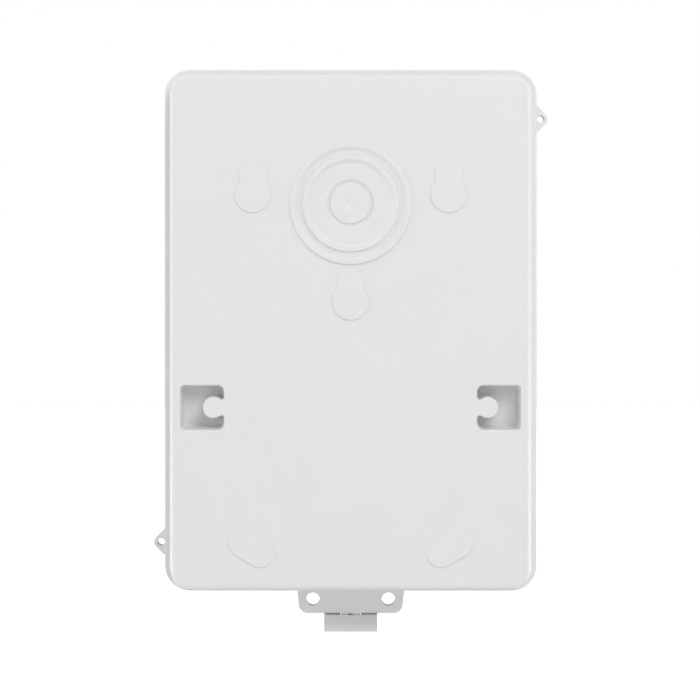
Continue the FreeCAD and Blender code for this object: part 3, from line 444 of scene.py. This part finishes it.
def screw(name, head_r, head_h, dome, slots, slot_l, slot_w, slot_d, shank_r, length, pitch):
    """One screw along Y, its seat at the origin and its head towards -Y."""
    head = turned(head_r, -head_h, 0, 48)
    head.name = name
    soften_rim(head, -head_h, dome, 6)
    for k in range(slots):
        cutter = block((0, -head_h, 0), (slot_l, 2 * slot_d, slot_w), k * math.pi / 2)
        combine(head, cutter, "DIFFERENCE")
    thread_depth, thread_sunk = 0.00030, 0.00005
    core = shank_r - thread_depth
    shank = turned(core, -head_h / 4, length, 24)
    soften_rim(shank, length, core * 0.5, 2)
    # the thread is a small triangle, carried round the shank in steps
    steps = 16
    turns = max(1, int((length - 1.6 * pitch) / pitch))
    bpy.ops.object.select_all(action="DESELECT")
    bpy.ops.mesh.primitive_circle_add(vertices=3, radius=pitch / 3, fill_type="NGON",
                                      location=(core, pitch / 2, 0))
    thread = bpy.context.object
    bpy.ops.object.transform_apply(location=True, rotation=True, scale=True)
    inner = core - thread_sunk
    triangle = ((inner, 0.1), (inner, 0.9), (shank_r, 0.5))
    for point, (x, y) in zip(thread.data.vertices, triangle):
        point.co = (x, y * pitch, 0)
    bpy.ops.object.mode_set(mode="EDIT")
    bpy.ops.mesh.select_mode(type="FACE")
    bpy.ops.mesh.select_all(action="SELECT")
    for k in range(steps * turns):
        bpy.ops.mesh.extrude_region_move(TRANSFORM_OT_translate={"value": (0, pitch / steps, 0)})
        bpy.ops.transform.rotate(value=2 * math.pi / steps, orient_axis="Y",
                                 center_override=(0, 0, 0))
    bpy.ops.mesh.select_all(action="SELECT")
    bpy.ops.mesh.normals_make_consistent(inside=False)
    bpy.ops.object.mode_set(mode="OBJECT")
    only(head)
    shank.select_set(True)
    thread.select_set(True)
    bpy.ops.object.join()
    bpy.ops.object.shade_smooth_by_angle(angle=math.radians(35))
    return head


def set_of(pattern, places, material, body, node):
    """Copies of one screw at the places, joined to one piece that stands for the CAD node."""
    copies = []
    for place in places:
        copy = bpy.data.objects.new(pattern.name, pattern.data.copy())
        copy.data.transform(Matrix.Translation(place))
        bpy.context.collection.objects.link(copy)
        copies.append(copy)
    only(copies[0])
    for copy in copies[1:]:
        copy.select_set(True)
    bpy.ops.object.join()
    whole = copies[0]
    name = pattern.name
    bpy.data.objects.remove(pattern)
    whole.name = name
    whole.data.materials.append(material)
    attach(whole, body)
    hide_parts(node)


# rolled and barrel-plated, so the grain has no direction
screw_steel = plated("bright_zinc_plated_screw_steel", "CBCDCE", 1, 0.3, 0.20, 0.34)
for name, length, places, node in (
    ("rail_screw_set", 0.0095, [(x, -0.0164, -0.0383) for x in (-0.070, 0.070)], "rail_screws"),
    ("cover_screw_set", 0.0120, [(x, -0.058, z) for x in (-0.079, 0.079) for z in (-0.119, 0.119)],
     "mask_screws"),
    ("holder_screw_set", 0.0080, [(x, -0.0135, -0.106) for x in (-0.068, -0.012, 0.012, 0.068)],
     "holder_screws"),
):
    pattern = screw(name, head_r=0.0036, head_h=0.0022, dome=0.0011,
                    slots=2, slot_l=0.0044, slot_w=0.0009, slot_d=0.0012,
                    shank_r=0.0014, length=length, pitch=0.0011)
    set_of(pattern, places, screw_steel, "base", node)

# Terminal bars: square brass bar, drilled and sawn off
# The brass is drawn, so fine lines run along it, which is along X, and it is a little
# tarnished to a deeper gold.
bar_brass = plated("drawn_brass_bar", "D9BE7C", 25, 0.35, 0.24, 0.38)
dress("earth_bar", bar_brass)
dress("neutral_bar", bar_brass)

# Terminal screws: brass cheese heads with one slot, six to a bar
# Turned from brass rod, brighter than the bars, with a short machine thread.
screw_brass = plated("turned_brass_screw", "E0C788", 1, 0.25, 0.18, 0.30)
first_x, spacing = 0.02125, 0.0075
for side, name in ((-1, "earth"), (1, "neutral")):
    places = [(side * (first_x + spacing * k), -0.0215, -0.106) for k in range(6)]
    pattern = screw(name + "_screw_set", head_r=0.0026, head_h=0.0015, dome=0.0003,
                    slots=1, slot_l=0.0060, slot_w=0.0009, slot_d=0.0009,
                    shank_r=0.0019, length=0.0017, pitch=0.0006)
    set_of(pattern, places, screw_brass, "base", name + "_terminal_screws")

# Bar holders: moulded polyamide, green for earth and blue for neutral
# Glass-free polyamide, self-coloured and satin, a little waxy to the eye.
dress("earth_bar_holder", moulded("green_moulded_polyamide", "3E8E55", 0.5, 0.36, 0.46))
dress("neutral_bar_holder", moulded("blue_moulded_polyamide", "3A6CB0", 0.5, 0.36, 0.46))
